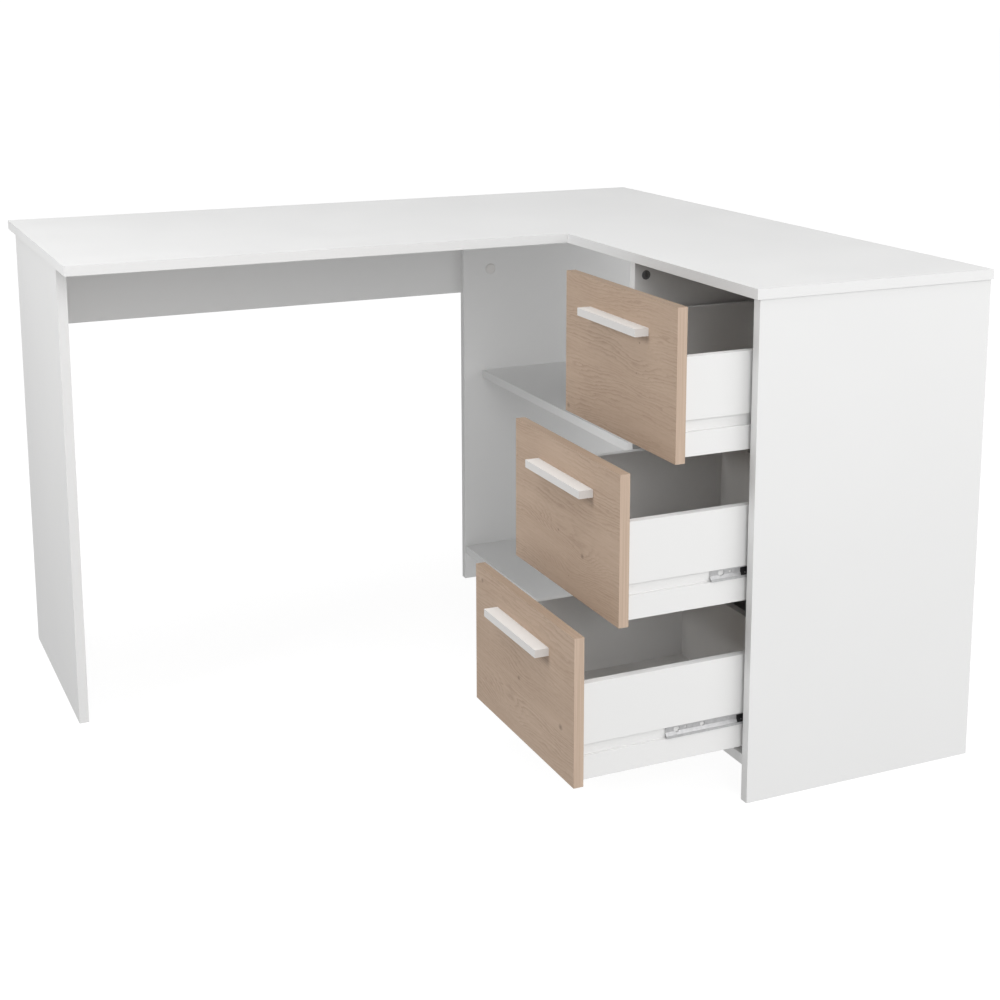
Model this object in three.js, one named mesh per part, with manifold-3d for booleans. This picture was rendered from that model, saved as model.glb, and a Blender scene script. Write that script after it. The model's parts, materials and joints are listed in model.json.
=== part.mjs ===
// Corner desk: an L-shaped worktop on one leg panel and a side cabinet with a
// shelf bay and three inset drawers that run on ball-bearing slides.
// Millimetres, +Z up. +X runs along the long arm and +Y away from the user.
// The pieces are laid out from the front left corner of the worktop's box, and
// one group moves them so that the origin is on the floor under its middle.

import * as THREE from "three";
import { mergeVertices } from "three/addons/utils/BufferGeometryUtils.js";
import Module from "manifold-3d";

const wasm = await Module();
wasm.setup();

// ---- Driving dimensions ----
const length = 1217; // worktop along X
const width = 1136; // worktop along Y
const height = 750;
const board = 15; // thickness of every carcass board
const armDepth = 555; // long arm, front to back
const returnWidth = 400; // short arm, side to side

const legSetIn = 3; // leg panel behind the worktop's left edge
const legDepth = 400;
const legCamInset = 40; // cam locks from the leg panel's front edge and the rail
const panelBackSetIn = 62; // leg and rail in front of the worktop's back edge
const railHeight = 162;

const cabinetLeft = 823; // the cabinet's open front is a plane at this X
const cabinetRight = 1215;
const rearPanelSetBack = 1;
const endPanelSetIn = 3;
const drawerBayWidth = 340;
const bottomClearance = 52; // floor to the underside of the bottom boards
const bottomSetBack = 2;
const shelfTop = 420;
const shelfSetBack = 40;
const backThickness = 3;
const backSetIn = 7;

const frontGap = 4; // under each drawer front
const frontSideGap = 1.5;
const frontHeight = 217;
const boxDepth = 350;
const boxWall = 12;
const boxHeight = 140;
const boxLift = 7; // drawer box above the front's lower edge
const boxSideGap = 8; // drawer box to the bay's wall
const bottomPanel = 3;
const bottomPanelLift = 8;
const grooveDepth = 5.5;
const grooveHeight = 17;
const grooveLift = 34.5; // groove above the box's lower edge

const slideClearance = 1.5; // cabinet member behind a closed front
const cabinetMemberLength = 342;
const drawerMemberLength = 214;
const drawerMemberSetBack = 134; // behind the front's inner face
const cageLength = 96;

const handleLength = 177;
const handleReach = 21.5;
const handleHeight = 11.5;
const handleDrop = 42; // handle's top below the front's top
const handleWall = 3;

const camRadius = 7.4;
const camBoreRadius = 7.7;
const camDepth = 11.9;
const camBoreDepth = 12.5;
const camInset = 20; // from the panel's edge
const camDrop = 22; // below the worktop's underside
const camSunk = 0.3; // below the panel's face
const camSlotDepth = 2.5;
const camSlotWidth = 1.8;
const camSlotLength = 9;

const capRadius = 10;
const capHeight = 3;
const capInset = 57; // from the cabinet's front plane
const capLifts = [45, 112]; // above the rail's lower edge

const plateMiddles = [900, 1130]; // along X, under the worktop's seam
const plateWidth = 40;
const plateLength = 64;
const plateThickness = 2;
const plateHoleRadius = 2.5;
const plateHoleX = 12; // from the plate's middle
const plateHoleY = 22;

const overcut = 1; // how far a cutter runs past the face it cuts
const roundSides = 24; // facets of a bore or a rod

// Each drawer's opening, and its ball cages' place when the drawer is shut.
const drawers = [
  { name: "upper", level: 2, opening: 118, cageShut: 940 },
  { name: "middle", level: 1, opening: 202, cageShut: 920 },
  { name: "lower", level: 0, opening: 269, cageShut: 953.5 },
];

// ---- Worked-out places ----
const underside = height - board;
const legBack = width - panelBackSetIn;
const legFront = legBack - legDepth;
const legRight = legSetIn + board;
const railFront = legBack - board;
const rearPanelFront = railFront - board;
const bayNear = endPanelSetIn + board;
const bayFar = bayNear + drawerBayWidth;
const dividerBack = bayFar + board;
const bottomTop = bottomClearance + board;
const frontInnerShut = cabinetLeft + board;

// ---- Materials ----
const finish = (color, roughness, metalness = 0) =>
  new THREE.MeshStandardMaterial({ color, roughness, metalness });
const white = finish(0xeeeeee, 0.5);
const innerWhite = finish(0xe6e4e1, 0.6);
const oak = finish(0xb99f8a, 0.6);
const handleWhite = finish(0xf0eeec, 0.4);
const zinc = finish(0xb8b8b8, 0.35, 0.9);
const blackPlastic = finish(0x1c1c1c, 0.5);
const hardboard = finish(0x8d8680, 0.8);

// ---- Helpers ----
const layout = new THREE.Group();
layout.position.set(-length / 2, -width / 2, 0);

function addMesh(name, geometry, material) {
  const mesh = new THREE.Mesh(geometry, material);
  mesh.name = name;
  layout.add(mesh);
}

function boxBetween(low, high) {
  const size = high.map((value, axis) => value - low[axis]);
  const middle = high.map((value, axis) => (value + low[axis]) / 2);
  return new THREE.BoxGeometry(...size).translate(...middle);
}

function addBoard(name, low, high, material = white) {
  addMesh(name, boxBetween(low, high), material);
}

function toSolid(geometry) {
  const bare = geometry.clone();
  bare.deleteAttribute("normal");
  bare.deleteAttribute("uv");
  const merged = mergeVertices(bare, 1e-4);
  return new wasm.Manifold(
    new wasm.Mesh({
      numProp: 3,
      vertProperties: new Float32Array(merged.attributes.position.array),
      triVerts: new Uint32Array(merged.index.array),
    }),
  );
}

function toGeometry(solid) {
  const mesh = solid.getMesh();
  const geometry = new THREE.BufferGeometry();
  geometry.setAttribute("position", new THREE.BufferAttribute(mesh.vertProperties, 3));
  geometry.setIndex(new THREE.BufferAttribute(mesh.triVerts, 1));
  geometry.computeVertexNormals();
  return geometry;
}

function cut(geometry, cutters) {
  let solid = toSolid(geometry);
  for (const cutter of cutters) {
    solid = solid.subtract(toSolid(cutter));
  }
  return toGeometry(solid);
}

// A rod whose ends are `from` and `to` along one row axis, "x", "y" or "z".
function rod(axis, radius, from, to, across) {
  const geometry = new THREE.CylinderGeometry(radius, radius, to - from, roundSides);
  const middle = (from + to) / 2;
  if (axis === "x") {
    return geometry.rotateZ(Math.PI / 2).translate(middle, across[0], across[1]);
  }
  if (axis === "z") {
    return geometry.rotateX(Math.PI / 2).translate(across[0], across[1], middle);
  }
  return geometry.translate(across[0], middle, across[1]);
}

// A section given as [Y, Z] points, run along X.
function runAlongX(section, fromX, toX) {
  const shape = new THREE.Shape(section.map(([y, z]) => new THREE.Vector2(y, z)));
  const options = { depth: toX - fromX, bevelEnabled: false };
  const toRow = new THREE.Matrix4().makeBasis(
    new THREE.Vector3(0, 1, 0),
    new THREE.Vector3(0, 0, 1),
    new THREE.Vector3(1, 0, 0),
  );
  return new THREE.ExtrudeGeometry(shape, options).applyMatrix4(toRow).translate(fromX, 0, 0);
}

// ---- Cam locks: round zinc fittings sunk in bored panels ----
// `axis` is the row axis the bore runs along, `face` the panel's face there,
// and `outward` is +1 or -1, the way that face looks.
function camPair(axis, face, outward, places) {
  const span = (near, far) => {
    const ends = [face - outward * near, face - outward * far];
    return [Math.min(...ends), Math.max(...ends)];
  };
  const bores = places.map((across) =>
    rod(axis, camBoreRadius, ...span(-overcut, camBoreDepth), across),
  );
  const cams = places.map((across) => {
    const body = rod(axis, camRadius, ...span(camSunk, camSunk + camDepth), across);
    const [low, high] = span(-overcut, camSunk + camSlotDepth);
    const slots = [
      [camSlotLength, camSlotWidth],
      [camSlotWidth, camSlotLength],
    ].map(([wide, tall]) => {
      const [a, b] = [wide / 2, tall / 2];
      if (axis === "x") {
        return boxBetween([low, across[0] - a, across[1] - b], [high, across[0] + a, across[1] + b]);
      }
      return boxBetween([across[0] - a, low, across[1] - b], [across[0] + a, high, across[1] + b]);
    });
    return cut(body, slots);
  });
  return { bores, cams };
}

function addBoredPanel(name, low, high, fittings) {
  addMesh(name, cut(boxBetween(low, high), fittings.bores), white);
  fittings.cams.forEach((cam, index) => {
    addMesh(`${name}_cam_lock_${index + 1}`, cam, zinc);
  });
}

// ---- Worktop: two boards that meet under the long arm's front line ----
const seam = width - armDepth;
const returnLeft = length - returnWidth;
addBoard("worktop_long_arm", [0, seam, underside], [length, width, height]);
addBoard("worktop_short_arm", [returnLeft, 0, underside], [length, seam, height]);

// Flat steel plates that join the two boards from below.
plateMiddles.forEach((x, index) => {
  const plate = boxBetween(
    [x - plateWidth / 2, seam - plateLength / 2, underside - plateThickness],
    [x + plateWidth / 2, seam + plateLength / 2, underside],
  );
  const holes = [];
  for (const dx of [-plateHoleX, plateHoleX]) {
    for (const dy of [-plateHoleY, plateHoleY]) {
      const [low, high] = [underside - plateThickness - overcut, underside + overcut];
      holes.push(rod("z", plateHoleRadius, low, high, [x + dx, seam + dy]));
    }
  }
  addMesh(`worktop_joining_plate_${index + 1}`, cut(plate, holes), zinc);
});

// ---- Panels that stand on the floor ----
const camZ = underside - camDrop;
const cabinetCamX = [cabinetLeft + camInset, cabinetRight - camInset];
addBoredPanel(
  "left_leg_panel",
  [legSetIn, legFront, 0],
  [legRight, legBack, underside],
  camPair("x", legRight, 1, [
    [legFront + legCamInset, camZ],
    [railFront - legCamInset, camZ],
  ]),
);
addBoredPanel(
  "cabinet_end_panel",
  [cabinetLeft, endPanelSetIn, 0],
  [cabinetRight, bayNear, underside],
  camPair("y", bayNear, 1, cabinetCamX.map((x) => [x, camZ])),
);
addBoredPanel(
  "cabinet_divider_panel",
  [cabinetLeft, bayFar, 0],
  [cabinetRight, dividerBack, underside],
  camPair("y", bayFar, -1, cabinetCamX.map((x) => [x, camZ])),
);
addBoredPanel(
  "cabinet_rear_panel",
  [cabinetLeft + rearPanelSetBack, rearPanelFront, 0],
  [cabinetRight, railFront, underside],
  camPair("y", rearPanelFront, -1, cabinetCamX.map((x) => [x, camZ])),
);

// ---- Rail behind the knee space, screwed to the rear panel ----
const railBottom = underside - railHeight;
addBoard("rear_rail", [legRight, railFront, railBottom], [cabinetRight, legBack, underside]);

// Domed caps over the screws that hold the rail.
const capProfile = new THREE.Path()
  .moveTo(0, 0)
  .lineTo(capRadius, 0)
  .lineTo(capRadius, capHeight * 0.35)
  .quadraticCurveTo(capRadius * 0.8, capHeight, 0, capHeight);
capLifts.forEach((lift, index) => {
  const cap = new THREE.LatheGeometry(capProfile.getPoints(6), roundSides)
    .rotateX(Math.PI)
    .translate(cabinetLeft + capInset, rearPanelFront, railBottom + lift);
  addMesh(`rail_screw_cap_${index + 1}`, cap, handleWhite);
});

// ---- Boards between the panels ----
addBoard(
  "middle_shelf",
  [cabinetLeft + shelfSetBack, dividerBack, shelfTop - board],
  [cabinetRight - bottomSetBack, rearPanelFront, shelfTop],
);
addBoard(
  "shelf_bay_bottom",
  [cabinetLeft + bottomSetBack, dividerBack, bottomClearance],
  [cabinetRight - bottomSetBack, rearPanelFront, bottomTop],
);
addBoard(
  "drawer_bay_bottom",
  [cabinetLeft + bottomSetBack, bayNear, bottomClearance],
  [cabinetRight - bottomSetBack, bayFar, bottomTop],
);
addBoard(
  "drawer_bay_back",
  [cabinetRight - backSetIn - backThickness, bayNear, bottomTop],
  [cabinetRight - backSetIn, bayFar, underside],
  hardboard,
);

// ---- Slides ----
// Sections as [distance from the bay's wall, height above the groove's floor].
// The cabinet member hooks into the ball cage, and the cage into the drawer
// member, with about 0.3 mm between each two.
const drawerMemberSection = [
  [8.2, 16.7],
  [13.2, 16.7],
  [13.2, 7.2],
  [8.4, 0.3],
  [6.4, 0.3],
  [6.4, 3.6],
  [7.6, 3.6],
  [7.85, 1.5],
  [12.0, 7.55],
  [12.0, 15.5],
  [8.2, 15.5],
];
const cageSection = [
  [8.4, 15.2],
  [11.7, 15.2],
  [11.7, 7.7],
  [8.5, 3.0],
  [7.95, 3.95],
  [10.7, 7.95],
  [10.7, 14.2],
  [8.4, 14.2],
];
const cabinetMemberSection = [
  [0, 13.9],
  [10.4, 13.9],
  [10.4, 8.1],
  [7.6, 4.1],
  [6.7, 4.8],
  [9.2, 8.45],
  [9.2, 12.7],
  [1.2, 12.7],
  [1.2, 3.0],
  [0, 3.0],
];
// Holes in the drawer member: distance behind its front end, and radius.
const memberHoles = [
  [18, 4.8],
  [33, 2],
  [60, 3.7],
  [180, 4.8],
];
const memberHoleLift = 10.6;
const memberDrillFrom = 9; // from the bay's wall
const memberDrillTo = 14;

// ---- One drawer ----
function addDrawer({ name, level, opening, cageShut }) {
  const frontLow = bottomTop + frontGap + level * (frontHeight + frontGap);
  const frontHigh = frontLow + frontHeight;
  const faceX = cabinetLeft - opening;
  const innerX = faceX + board;
  const frontNear = bayNear + frontSideGap;
  const frontFar = bayFar - frontSideGap;
  addBoard(
    `${name}_drawer_front`,
    [faceX, frontNear, frontLow],
    [innerX, frontFar, frontHigh],
    oak,
  );

  const boxLow = frontLow + boxLift;
  const boxHigh = boxLow + boxHeight;
  const boxEnd = innerX + boxDepth;
  const backInner = boxEnd - boxWall;
  const grooveLow = boxLow + grooveLift;

  // `wall` is the bay's wall on that side, and `inward` points to the drawer.
  for (const [side, wall, inward] of [
    ["near", bayNear, 1],
    ["far", bayFar, -1],
  ]) {
    const across = (distance) => wall + inward * distance;
    const place = (section) => section.map(([d, z]) => [across(d), grooveLow + z]);
    const sorted = (a, b) => [Math.min(a, b), Math.max(a, b)];

    const [sideLow, sideHigh] = sorted(across(boxSideGap), across(boxSideGap + boxWall));
    const [cutLow, cutHigh] = sorted(
      across(boxSideGap - overcut),
      across(boxSideGap + grooveDepth),
    );
    const groove = boxBetween(
      [innerX - overcut, cutLow, grooveLow],
      [boxEnd + overcut, cutHigh, grooveLow + grooveHeight],
    );
    const sideBoard = boxBetween([innerX, sideLow, boxLow], [boxEnd, sideHigh, boxHigh]);
    addMesh(`${name}_drawer_${side}_side`, cut(sideBoard, [groove]), innerWhite);

    const memberFront = innerX + drawerMemberSetBack;
    const memberBack = memberFront + drawerMemberLength;
    const drillSpan = sorted(across(memberDrillFrom), across(memberDrillTo));
    const drill = memberHoles.map(([back, radius]) =>
      rod("y", radius, ...drillSpan, [memberFront + back, grooveLow + memberHoleLift]),
    );
    const member = runAlongX(place(drawerMemberSection), memberFront, memberBack);
    addMesh(`${name}_drawer_${side}_slide_drawer_member`, cut(member, drill), zinc);

    const cabinetFront = frontInnerShut + slideClearance;
    addMesh(
      `${name}_drawer_${side}_slide_cabinet_member`,
      runAlongX(place(cabinetMemberSection), cabinetFront, cabinetFront + cabinetMemberLength),
      zinc,
    );

    const cageFront = cageShut - opening / 2;
    addMesh(
      `${name}_drawer_${side}_slide_ball_cage`,
      runAlongX(place(cageSection), cageFront, cageFront + cageLength),
      blackPlastic,
    );
  }

  const innerNear = bayNear + boxSideGap + boxWall;
  const innerFar = bayFar - boxSideGap - boxWall;
  addBoard(
    `${name}_drawer_back`,
    [backInner, innerNear, boxLow],
    [boxEnd, innerFar, boxHigh],
    innerWhite,
  );
  const bottomLow = boxLow + bottomPanelLift;
  addBoard(
    `${name}_drawer_bottom`,
    [innerX, innerNear, bottomLow],
    [backInner, innerFar, bottomLow + bottomPanel],
    hardboard,
  );

  // A bar handle, hollow and open below and behind for the fingers.
  const handleMiddle = (frontNear + frontFar) / 2;
  const handleTop = frontHigh - handleDrop;
  const handleBottom = handleTop - handleHeight;
  const handleNear = handleMiddle - handleLength / 2;
  const handleFar = handleMiddle + handleLength / 2;
  const handleFront = faceX - handleReach;
  const bar = boxBetween(
    [handleFront, handleNear, handleBottom],
    [faceX, handleFar, handleTop],
  );
  const hollow = boxBetween(
    [handleFront + handleWall, handleNear + handleWall, handleBottom - overcut],
    [faceX + overcut, handleFar - handleWall, handleTop - handleWall],
  );
  addMesh(`${name}_drawer_handle`, cut(bar, [hollow]), handleWhite);
}
drawers.forEach(addDrawer);

const group = new THREE.Group();
group.add(layout);

export default group;
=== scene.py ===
"""Looks of the corner desk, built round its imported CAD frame. Metres, +Z up, front towards -Y."""

import json
import math

import bmesh
import bpy
from mathutils import Matrix, Vector


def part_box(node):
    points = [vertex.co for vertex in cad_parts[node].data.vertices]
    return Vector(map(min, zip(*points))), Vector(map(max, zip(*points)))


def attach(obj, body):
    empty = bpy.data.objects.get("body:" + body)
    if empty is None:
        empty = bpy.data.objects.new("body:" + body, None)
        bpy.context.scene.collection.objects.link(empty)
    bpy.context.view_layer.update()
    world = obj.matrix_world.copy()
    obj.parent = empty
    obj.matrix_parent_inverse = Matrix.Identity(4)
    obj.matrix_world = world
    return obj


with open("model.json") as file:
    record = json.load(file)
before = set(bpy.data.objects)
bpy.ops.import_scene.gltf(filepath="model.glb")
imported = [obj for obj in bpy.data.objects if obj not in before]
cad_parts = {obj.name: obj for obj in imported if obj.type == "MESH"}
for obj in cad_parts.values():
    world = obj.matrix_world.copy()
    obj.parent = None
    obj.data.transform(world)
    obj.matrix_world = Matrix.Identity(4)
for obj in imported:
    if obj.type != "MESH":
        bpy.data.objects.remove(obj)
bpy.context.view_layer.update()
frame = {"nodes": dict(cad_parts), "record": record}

# ---- Driving values ----
MM = 0.001
DRAWERS = ("upper", "middle", "lower")
SIDES = ("near", "far")
INWARD = {"near": 1, "far": -1}  # the way along Y from a slide to its drawer

CAMERA_PLACE = (-1.0195, -2.4776, 1.1466)
CAMERA_YAW = 24.59  # degrees to the right of +Y
CAMERA_PITCH = -11.05  # degrees above the horizon
LENS = 61.0  # millimetres, as is the sensor's width
SENSOR = 36.0
SHIFT_X = -0.019
SHIFT_Y = -0.18

# The sky's brightness against the height of the direction, -1 straight down and 1 straight up.
SKY = ((-0.02, 0.64), (0.02, 0.24), (0.35, 0.0), (0.7, 0.0), (1.0, 2.65))
SKY_PEAK = 3.0

# Softboxes: name, place, the point it faces, size and power in watts.
SOFTBOXES = (
    ("front_softbox", (-0.6, -4.5, 2.4), (0.0, 0.0, 0.4), 2.6, 92),
    ("right_softbox", (3.2, -4.0, 2.4), (0.0, 0.0, 0.4), 4.4, 121),
    ("left_softbox", (-2.3, -0.3, 1.75), (-0.6, 0.2, 0.75), 1.0, 30),
)

# How far the edges of each slot's pieces are rounded.
ROUNDING = {
    "white_melamine": 1.0 * MM,
    "drawer_white": 0.7 * MM,
    "white_hardboard": 0.3 * MM,
    "oak_decor": 0.8 * MM,
    "white_plastic": 1.1 * MM,
}

# Knots in each front's decor: across from its middle, up from its lower edge and radius,
# in millimetres, and how many growth lines bend round it.
KNOTS = {
    "upper": ((-63, 149, 1.0, 3.0), (-55, 104, 0.8, 2.5), (159, 10, 2.2, 1.5)),
    "middle": ((-57, 68, 2.2, 6.0), (20, 85, 1.2, 4.0), (-14, 26, 0.6, 5.0)),
    "lower": ((12, 92, 1.8, 2.5), (-127, 73, 2.6, 1.5), (144, 198, 2.0, 1.5), (42, 37, 0.5, 5.0)),
}

SCREW_SIDES = 24
# The rings of a screw's cross recess: share of the head's radius, and share of its height.
RECESS_RINGS = ((0.34, 0.95), (0.28, 0.45))

nodes = frame["nodes"]
scene = bpy.context.scene


# ---- Shader graph helpers ----
class Graph:
    """A material's node tree, with short calls that add a node and join it to others."""

    def __init__(self, name):
        self.material = bpy.data.materials.new(name)
        self.material.use_nodes = True
        self.tree = self.material.node_tree
        self.tree.nodes.clear()
        self.output = self.tree.nodes.new("ShaderNodeOutputMaterial")
        self.here = self.node("ShaderNodeTexCoord").outputs["Object"]

    def node(self, kind, **settings):
        made = self.tree.nodes.new(kind)
        for key, value in settings.items():
            setattr(made, key, value)
        return made

    def feed(self, socket, value):
        """Joins value to socket if it is an output, and otherwise stores it there."""
        if isinstance(value, bpy.types.NodeSocket):
            self.tree.links.new(value, socket)
        else:
            socket.default_value = value

    def math(self, operation, a, b=0.0):
        made = self.node("ShaderNodeMath", operation=operation)
        self.feed(made.inputs[0], a)
        self.feed(made.inputs[1], b)
        return made.outputs[0]

    def vector(self, operation, a, b):
        made = self.node("ShaderNodeVectorMath", operation=operation)
        self.feed(made.inputs[0], a)
        self.feed(made.inputs[1], b)
        return made.outputs["Value" if operation == "LENGTH" else "Vector"]

    def mix(self, factor, a, b):
        made = self.node("ShaderNodeMix", data_type="RGBA")
        self.feed(made.inputs[0], factor)
        self.feed(made.inputs[6], a)
        self.feed(made.inputs[7], b)
        return made.outputs[2]

    def stretched(self, *scale):
        """The piece's own coordinates, scaled along X, Y and Z."""
        return self.vector("MULTIPLY", self.here, scale)

    def noise(self, vector, scale=1.0, detail=3.0, roughness=0.5):
        made = self.node("ShaderNodeTexNoise")
        self.feed(made.inputs["Vector"], vector)
        made.inputs["Scale"].default_value = scale
        made.inputs["Detail"].default_value = detail
        made.inputs["Roughness"].default_value = roughness
        return made.outputs["Fac"]

    def between(self, value, low, high, to_low=0.0, to_high=1.0):
        """Value's place between low and high, as a number from to_low to to_high."""
        made = self.node("ShaderNodeMapRange", clamp=True)
        self.feed(made.inputs["Value"], value)
        ends = zip(("From Min", "From Max", "To Min", "To Max"), (low, high, to_low, to_high))
        for key, number in ends:
            made.inputs[key].default_value = number
        return made.outputs["Result"]

    def axis(self, vector, name):
        split = self.node("ShaderNodeSeparateXYZ")
        self.feed(split.inputs[0], vector)
        return split.outputs[name]

    def joined(self, x, y):
        """The vector (x, y, 0)."""
        made = self.node("ShaderNodeCombineXYZ")
        self.feed(made.inputs["X"], x)
        self.feed(made.inputs["Y"], y)
        return made.outputs[0]

    def bump(self, height, strength, distance, normal=None):
        made = self.node("ShaderNodeBump")
        made.inputs["Strength"].default_value = strength
        made.inputs["Distance"].default_value = distance
        self.feed(made.inputs["Height"], height)
        if normal is not None:
            self.feed(made.inputs["Normal"], normal)
        return made.outputs["Normal"]

    def surface(self, color, roughness, normal=None, **constants):
        """Ends the graph in a Principled shader, and gives back the material."""
        shader = self.node("ShaderNodeBsdfPrincipled")
        self.feed(shader.inputs["Base Color"], color)
        self.feed(shader.inputs["Roughness"], roughness)
        for key, value in constants.items():
            shader.inputs[key.replace("_", " ")].default_value = value
        if normal is not None:
            self.feed(shader.inputs["Normal"], normal)
        self.tree.links.new(shader.outputs[0], self.output.inputs["Surface"])
        return self.material


def tint(red, green, blue, level=1.0):
    return (red * level, green * level, blue * level, 1.0)


# ---- Materials ----
def melamine(name, color, rough):
    """Melamine or foil: a fine pearled press texture over a very faint cloudiness."""
    g = Graph(name)
    cloud = g.between(g.noise(g.here, 4.0, 3.0), 0.3, 0.7)
    tone = g.mix(cloud, tint(*color, 0.985), tint(*color))
    pearl = g.noise(g.here, 1300.0, 2.0, 0.6)
    orange_peel = g.noise(g.here, 160.0, 2.0)
    wiped = g.noise(g.stretched(9, 9, 9), 1.0, 4.0, 0.6)
    roughness = g.between(wiped, 0.3, 0.7, rough - 0.05, rough + 0.06)
    fine = g.bump(pearl, 0.15, 0.00005)
    normal = g.bump(orange_peel, 0.06, 0.0002, fine)
    return g.surface(tone, roughness, normal, Specular_IOR_Level=0.2)


def hardboard(name):
    """Thin painted hardboard: a flat coat over a faint fibrous mottle."""
    g = Graph(name)
    fibre = g.noise(g.stretched(60, 220, 60), 1.0, 4.0, 0.65)
    mottle = g.between(fibre, 0.3, 0.7)
    tone = g.mix(mottle, tint(0.70, 0.69, 0.675), tint(0.74, 0.735, 0.72))
    normal = g.bump(fibre, 0.25, 0.0002)
    return g.surface(tone, g.between(fibre, 0.3, 0.7, 0.6, 0.75), normal, Specular_IOR_Level=0.3)


def knot_field(g, low, high, knots):
    """(how far growth lines are pushed, how dark it is) round the knots of one front."""
    push, dark = 0.0, 0.0
    middle = (low.y + high.y) / 2
    for across, up, radius, lines in knots:
        center = (0.0, middle + across * MM, low.z + up * MM)
        offset = g.vector("SUBTRACT", g.here, center)
        spread = g.vector("LENGTH", g.vector("MULTIPLY", offset, (0.0, 18.0, 42.0)), (0, 0, 0))
        swell = g.math("POWER", math.e, g.math("MULTIPLY", g.math("POWER", spread, 2.0), -1.0))
        push = g.math("ADD", push, g.math("MULTIPLY", swell, lines))
        size = 1.0 / (radius * MM)
        reach = g.vector("LENGTH", g.vector("MULTIPLY", offset, (0.0, size * 0.8, size)), (0, 0, 0))
        dark = g.math("MAXIMUM", dark, g.between(reach, 0.3, 2.2, 1.0, 0.0))
    return push, dark


def oak_decor(name, low, high, knots):
    """Oak decor with its grain along Y. The edge bands are darker above and below than at the sides: a
    darker copy of the same band, as painted shade.
    """
    g = Graph(name)
    y, z = g.axis(g.here, "Y"), g.axis(g.here, "Z")
    push, dark = knot_field(g, low, high, knots)

    # Growth lines: contours of a slow field, each a slow rise in tone and a sharp fall.
    hills = g.noise(g.stretched(1, 2.6, 9.0), 1.0, 1.5, 0.4)
    wobble = g.noise(g.stretched(1, 14.0, 90.0), 1.0, 4.0, 0.6)
    lines = g.math("ADD", g.math("MULTIPLY", z, 190.0), g.math("MULTIPLY", hills, 15.0))
    lines = g.math("ADD", lines, g.math("MULTIPLY", wobble, 3.2))
    phase = g.math("FRACT", g.math("ADD", lines, push))
    rise = g.math("POWER", phase, 2.5)
    ring = g.math("MULTIPLY", rise, g.between(phase, 0.86, 1.0, 1.0, 0.0))
    patch = g.between(g.noise(g.stretched(1, 5.0, 34.0), 1.0, 3.0), 0.36, 0.6)
    ring = g.math("MULTIPLY", ring, g.between(patch, 0.0, 1.0, 0.05, 1.0))

    # Marks along the grain: streaks, fibres, pores and broad bands of tone.
    streak = g.between(g.noise(g.stretched(1, 7.0, 190.0), 1.0, 3.0, 0.6), 0.3, 0.7)
    fibre = g.between(g.noise(g.stretched(1, 26.0, 480.0), 1.0, 4.0, 0.65), 0.3, 0.7)
    pore = g.between(g.noise(g.stretched(1, 60.0, 1500.0), 1.0, 2.0, 0.5), 0.62, 0.72)
    broad = g.between(g.noise(g.stretched(1, 3.0, 16.0), 1.0, 2.0), 0.3, 0.7)

    face = g.mix(broad, tint(0.445, 0.325, 0.238), tint(0.530, 0.402, 0.305))
    face = g.mix(g.between(streak, 0, 1, 0.0, 0.5), face, tint(0.410, 0.295, 0.214))
    face = g.mix(g.between(fibre, 0, 1, 0.0, 0.45), face, tint(0.55, 0.42, 0.325))
    face = g.mix(g.math("MULTIPLY", ring, 0.75), face, tint(0.30, 0.205, 0.14))
    face = g.mix(g.math("MULTIPLY", pore, 0.35), face, tint(0.22, 0.15, 0.10))
    face = g.mix(g.math("MULTIPLY", dark, 0.6), face, tint(0.13, 0.085, 0.058))

    # Edge bands, striped along the front's edge; those above and below are a darker copy, painted
    # shade.
    along = g.math("ADD", y, z)
    x = g.axis(g.here, "X")
    stripe = g.joined(g.math("MULTIPLY", x, 420.0), g.math("MULTIPLY", along, 5.0))
    stripes = g.between(g.noise(stripe, 1.0, 3.0, 0.6), 0.3, 0.7)
    side_band = g.mix(stripes, tint(0.46, 0.345, 0.262), tint(0.56, 0.43, 0.335))
    # The bands above and below: the side band's colour darkened as painted shade.
    painted_shade_band = g.mix(stripes, tint(0.32, 0.237, 0.175), tint(0.38, 0.286, 0.215))

    facing = g.node("ShaderNodeTexCoord").outputs["Normal"]
    # Faces that point up or down get the painted shade band.
    is_painted_shade_face = g.between(g.math("ABSOLUTE", g.axis(facing, "Z")), 0.6, 0.8)
    is_face = g.between(g.math("ABSOLUTE", g.axis(facing, "X")), 0.6, 0.8)
    band = g.mix(is_painted_shade_face, side_band, painted_shade_band)
    color = g.mix(is_face, band, face)

    height = g.math("SUBTRACT", g.math("MULTIPLY", fibre, 0.4), pore)
    height = g.math("SUBTRACT", height, g.math("MULTIPLY", ring, 0.3))
    normal = g.bump(height, 0.3, 0.00012)
    roughness = g.between(streak, 0.0, 1.0, 0.5, 0.62)
    return g.surface(color, roughness, normal, Specular_IOR_Level=0.35)


def moulded(name, color, rough):
    """Moulded plastic: an even colour with a fine spark-eroded texture."""
    g = Graph(name)
    grain = g.noise(g.here, 1600.0, 3.0, 0.6)
    tone = g.mix(g.between(grain, 0.3, 0.7), tint(*color, 0.96), tint(*color))
    roughness = g.between(g.noise(g.here, 60.0, 3.0), 0.3, 0.7, rough - 0.05, rough + 0.07)
    return g.surface(tone, roughness, g.bump(grain, 0.2, 0.00005), Specular_IOR_Level=0.45)


def zinc_plate(name):
    """Rolled steel with bright zinc plating: fine lines along X, and a faint spangle."""
    g = Graph(name)
    rolled = g.noise(g.stretched(12, 900, 900), 1.0, 3.0, 0.6)
    spangle = g.noise(g.here, 220.0, 2.0)
    tone = g.mix(g.between(spangle, 0.3, 0.7), tint(0.50, 0.50, 0.505), tint(0.58, 0.58, 0.585))
    roughness = g.between(rolled, 0.3, 0.7, 0.46, 0.60)
    return g.surface(tone, roughness, g.bump(rolled, 0.12, 0.00004), Metallic=0.6)


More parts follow.
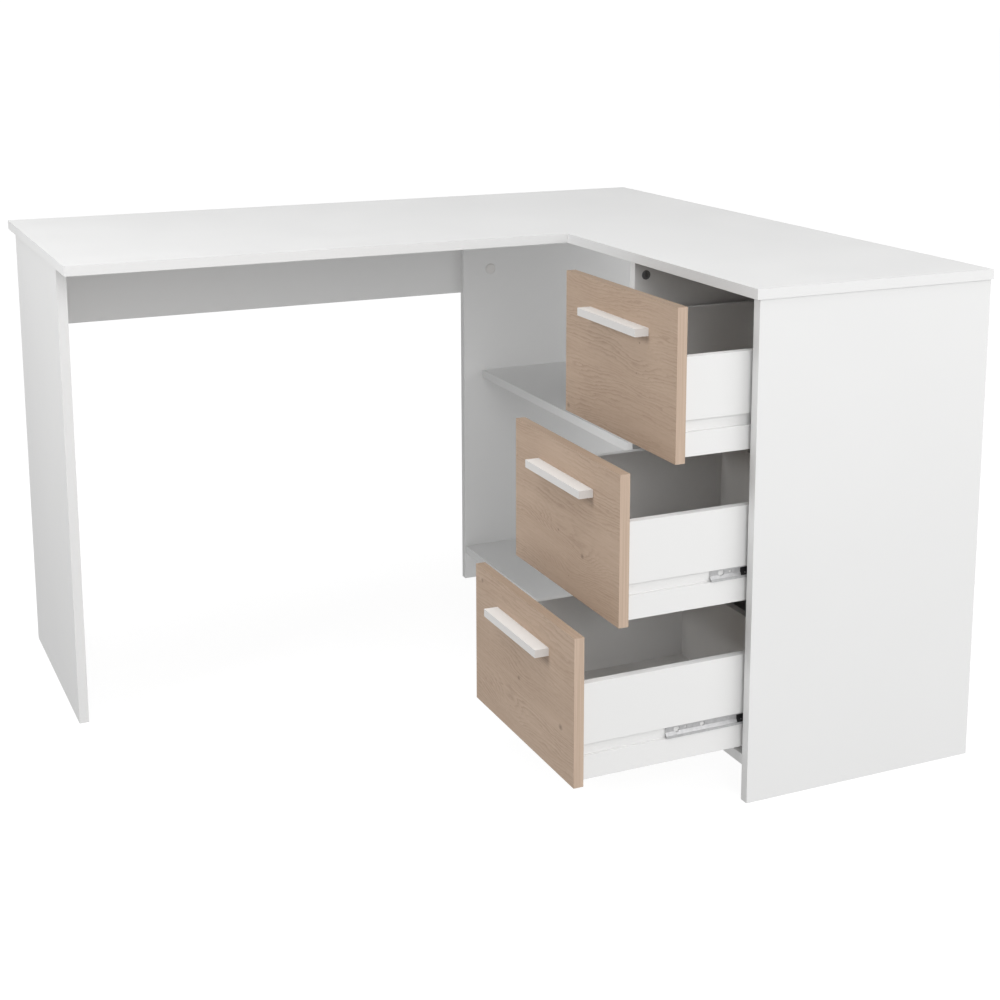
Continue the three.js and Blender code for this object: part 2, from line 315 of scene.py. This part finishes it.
def cast_zinc(name):
    """Die-cast zinc, as in cam locks: dull grey with a fine cast grain."""
    g = Graph(name)
    grain = g.noise(g.here, 900.0, 3.0, 0.6)
    tone = g.mix(g.between(grain, 0.3, 0.7), tint(0.20, 0.20, 0.205), tint(0.27, 0.27, 0.275))
    roughness = g.between(grain, 0.3, 0.7, 0.5, 0.62)
    return g.surface(tone, roughness, g.bump(grain, 0.2, 0.00005), Metallic=0.7)


MATERIAL_OF_SLOT = {
    "white_melamine": melamine("white_melamine", (0.765, 0.765, 0.762), 0.58),
    "drawer_white": melamine("drawer_white", (0.78, 0.778, 0.772), 0.55),
    "white_hardboard": hardboard("white_hardboard"),
    "white_plastic": moulded("white_plastic", (0.73, 0.715, 0.70), 0.5),
    "zinc_steel": zinc_plate("zinc_steel"),
    "black_plastic": moulded("black_plastic", (0.016, 0.016, 0.017), 0.4),
}


# ---- Finish every CAD node ----
def round_edges(piece, radius):
    bevel = piece.modifiers.new("rounded_edges", "BEVEL")
    bevel.width = radius
    bevel.segments = 3
    bevel.limit_method = "ANGLE"
    bevel.angle_limit = math.radians(50)


def finish_nodes():
    cam_lock_zinc = cast_zinc("cast_zinc")
    for row in frame["record"]["subparts"]:
        name, slot = row["node"], row["material_slot"]
        piece = nodes[name]
        if slot == "oak_decor":
            drawer = name.split("_")[0]
            low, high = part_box(name)
            material = oak_decor(f"oak_decor_{drawer}", low, high, KNOTS[drawer])
        elif "cam_lock" in name:
            material = cam_lock_zinc
        else:
            material = MATERIAL_OF_SLOT[slot]
        piece.data.materials.clear()
        piece.data.materials.append(material)
        if slot in ROUNDING:
            round_edges(piece, ROUNDING[slot])


# ---- Small parts ----
def add_piece(name, body, slot, build):
    """Makes a mesh piece with build(bm), and has it ride on body."""
    mesh = bpy.data.meshes.new(name)
    bm = bmesh.new()
    build(bm)
    bm.to_mesh(mesh)
    bm.free()
    piece = bpy.data.objects.new(name, mesh)
    scene.collection.objects.link(piece)
    mesh.materials.append(MATERIAL_OF_SLOT[slot])
    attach(piece, body)
    return piece


def screw_profile(radius, height):
    """A pan head's half section from its rim to the edge of its cross recess, as (radius, height)."""
    steps = 6
    crest, rim = 0.45, 0.35  # shares of the radius and of the height
    points = [(radius, 0.0)]
    for step in range(steps + 1):
        angle = math.pi / 2 * step / steps
        across = radius * (crest + (1 - crest) * math.cos(angle))
        up = height * (rim + (1 - rim) * math.sin(angle))
        points.append((across, up))
    return points


def add_ring(bm, place, turn, radii, height):
    """Vertices round a screw's axis at one height, one for each radius in radii."""
    ring = []
    for index, radius in enumerate(radii):
        angle = math.tau * index / len(radii)
        spot = Vector((radius * math.cos(angle), radius * math.sin(angle), height))
        ring.append(bm.verts.new(place + turn @ spot))
    return ring


def add_screw_head(bm, place, direction, radius, height):
    """A pan head that stands on place and points along direction, with a cross recess in it."""
    turn = Vector((0, 0, 1)).rotation_difference(Vector(direction)).to_matrix()
    place = Vector(place)
    rings = []
    for across, up in screw_profile(radius, height):
        rings.append(add_ring(bm, place, turn, [across] * SCREW_SIDES, up))
    # Between the cross's arms, three vertices of every six pull in to its waist.
    for share, depth in RECESS_RINGS:
        radii = []
        for side in range(SCREW_SIDES):
            in_arm = abs(math.cos(2 * math.tau * side / SCREW_SIDES)) > 0.6
            radii.append(radius * share * (1.0 if in_arm else 0.45))
        rings.append(add_ring(bm, place, turn, radii, height * depth))
    for lower, upper in zip(rings, rings[1:]):
        for side in range(SCREW_SIDES):
            after = (side + 1) % SCREW_SIDES
            bm.faces.new((lower[side], lower[after], upper[after], upper[side]))
    bm.faces.new(rings[-1])
    bm.faces.new(list(reversed(rings[0])))


def add_screws(name, body, places, direction, radius, height):
    """Screw heads at places, as one piece. Radius and height are in millimetres."""

    def build(bm):
        for place in places:
            add_screw_head(bm, place, direction, radius * MM, height * MM)
        bmesh.ops.recalc_face_normals(bm, faces=bm.faces)

    add_piece(name, body, "zinc_steel", build).data.shade_smooth()


def add_plate_screws():
    hole_x, hole_y = 12 * MM, 22 * MM
    for index in (1, 2):
        low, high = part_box(f"worktop_joining_plate_{index}")
        middle = (low + high) / 2
        places = [
            (middle.x + dx, middle.y + dy, low.z)
            for dx in (-hole_x, hole_x)
            for dy in (-hole_y, hole_y)
        ]
        add_screws(f"joining_plate_{index}_screws", "carcass", places, (0, 0, -1), 4.0, 2.2)


def add_handle_screws(drawer):
    front_low, front_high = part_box(f"{drawer}_drawer_front")
    low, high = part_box(f"{drawer}_drawer_handle")
    inset = 8 * MM
    height = (low.z + high.z) / 2
    places = [(front_high.x, y, height) for y in (low.y + inset, high.y - inset)]
    add_screws(f"{drawer}_drawer_handle_screws", f"{drawer}_drawer", places, (1, 0, 0), 4.2, 2.4)


def add_slide_screws(drawer, side):
    low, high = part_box(f"{drawer}_drawer_{side}_slide_cabinet_member")
    wall = low.y if side == "near" else high.y
    inward = INWARD[side]
    web = 1.2 * MM
    lift = 5.0 * MM
    stations = (28, 160, 300)  # millimetres back from the member's front end
    places = [(low.x + station * MM, wall + inward * web, low.z + lift) for station in stations]
    name = f"{drawer}_drawer_{side}_slide_screws"
    add_screws(name, "carcass", places, (0, inward, 0), 3.2, 1.8)


def add_balls(drawer, side):
    """Two rows of steel balls in a slide's cage: one under its top strip and one by its sloped race."""
    low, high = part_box(f"{drawer}_drawer_{side}_slide_ball_cage")
    drawer_face = high.y if side == "near" else low.y
    inset = 1.9 * MM
    pitch = 7.5 * MM
    count = int((high.x - low.x) / pitch)
    start = (low.x + high.x - (count - 1) * pitch) / 2
    rows = ((0.5, 0.75), (8.55, 0.62))  # drop from the cage's top, and radius, in millimetres

    def build(bm):
        for drop, radius in rows:
            for index in range(count):
                spot = (start + index * pitch, drawer_face - INWARD[side] * inset, high.z - drop * MM)
                bmesh.ops.create_icosphere(
                    bm, subdivisions=2, radius=radius * MM, matrix=Matrix.Translation(spot)
                )

    name = f"{drawer}_drawer_{side}_slide_balls"
    add_piece(name, f"{drawer}_drawer_ball_cages", "zinc_steel", build).data.shade_smooth()


# ---- Floor, light and camera ----
def stage_surface(name, mesh, material):
    """An object that the camera sees and that neither lights nor shades the desk."""
    material.cycles.emission_sampling = "NONE"
    mesh.materials.append(material)
    surface = bpy.data.objects.new(name, mesh)
    scene.collection.objects.link(surface)
    for ray in ("diffuse", "glossy", "shadow"):
        setattr(surface, f"visible_{ray}", False)
    return surface


def add_floor():
    """A pale glowing floor that takes shadows, and that the sky lights through."""
    far = 60.0
    mesh = bpy.data.meshes.new("floor")
    corners = [(-far, -far, 0), (far, -far, 0), (far, far, 0), (-far, far, 0)]
    mesh.from_pydata(corners, [], [(0, 1, 2, 3)])
    g = Graph("pale_floor")
    tone = g.between(g.noise(g.here, 0.8, 2.0), 0.3, 0.7)
    color = g.mix(tone, tint(0.19, 0.19, 0.19), tint(0.20, 0.20, 0.20))
    g.surface(color, 0.9, Specular_IOR_Level=0.0, Emission_Color=tint(1, 1, 1), Emission_Strength=0.88)
    floor = stage_surface("floor", mesh, g.material)


def add_backdrop():
    """A white dome that hides the sky from the camera, but not its light from the desk."""
    g = Graph("white_backdrop")
    glow = g.node("ShaderNodeEmission")
    tone = g.between(g.noise(g.here, 0.05, 1.0), 0.3, 0.7)
    g.feed(glow.inputs["Color"], g.mix(tone, tint(1, 1, 1, 1.04), tint(1, 1, 1, 1.06)))
    g.tree.links.new(glow.outputs[0], g.output.inputs["Surface"])
    mesh = bpy.data.meshes.new("backdrop")
    bm = bmesh.new()
    bmesh.ops.create_uvsphere(bm, u_segments=48, v_segments=24, radius=55.0)
    bm.to_mesh(mesh)
    bm.free()
    dome = stage_surface("backdrop", mesh, g.material)


def add_softbox(name, place, target, size, power):
    """A square light that faces target, and that the camera doesn't see."""
    light = bpy.data.lights.new(name, "AREA")
    light.shape = "SQUARE"
    light.size = size
    light.energy = power
    holder = bpy.data.objects.new(name, light)
    scene.collection.objects.link(holder)
    holder.visible_camera = False
    holder.location = place
    aim = Vector(target) - Vector(place)
    holder.rotation_euler = aim.to_track_quat("-Z", "Y").to_euler()


def add_sky():
    """A white sky that follows SKY: a glow below the horizon, dark above it, bright overhead."""
    world = bpy.data.worlds.new("studio")
    world.use_nodes = True
    tree = world.node_tree
    direction = tree.nodes.new("ShaderNodeTexCoord").outputs["Generated"]
    split = tree.nodes.new("ShaderNodeSeparateXYZ")
    tree.links.new(direction, split.inputs[0])
    height = tree.nodes.new("ShaderNodeMapRange")
    tree.links.new(split.outputs["Z"], height.inputs["Value"])
    height.inputs["From Min"].default_value = -1.0
    ramp = tree.nodes.new("ShaderNodeValToRGB")
    tree.links.new(height.outputs["Result"], ramp.inputs["Fac"])
    while len(ramp.color_ramp.elements) < len(SKY):
        ramp.color_ramp.elements.new(0.5)
    for stop, (z, level) in zip(ramp.color_ramp.elements, SKY):
        stop.position = (z + 1) / 2
        stop.color = tint(1, 1, 1, level / SKY_PEAK)
    background = tree.nodes["Background"]
    tree.links.new(ramp.outputs["Color"], background.inputs["Color"])
    background.inputs["Strength"].default_value = SKY_PEAK
    scene.world = world


def add_camera():
    data = bpy.data.cameras.new("camera")
    data.lens = LENS
    data.sensor_width = SENSOR
    data.shift_x = SHIFT_X
    data.shift_y = SHIFT_Y
    data.clip_start = 0.05
    data.clip_end = 200
    camera = bpy.data.objects.new("camera", data)
    scene.collection.objects.link(camera)
    camera.location = CAMERA_PLACE
    camera.rotation_euler = (math.radians(90 + CAMERA_PITCH), 0, math.radians(-CAMERA_YAW))
    scene.camera = camera


finish_nodes()
add_plate_screws()
for drawer in DRAWERS:
    add_handle_screws(drawer)
    for side in SIDES:
        add_slide_screws(drawer, side)
        add_balls(drawer, side)

add_floor()
add_backdrop()
add_sky()
for softbox in SOFTBOXES:
    add_softbox(*softbox)
add_camera()
scene.view_settings.view_transform = "Standard"
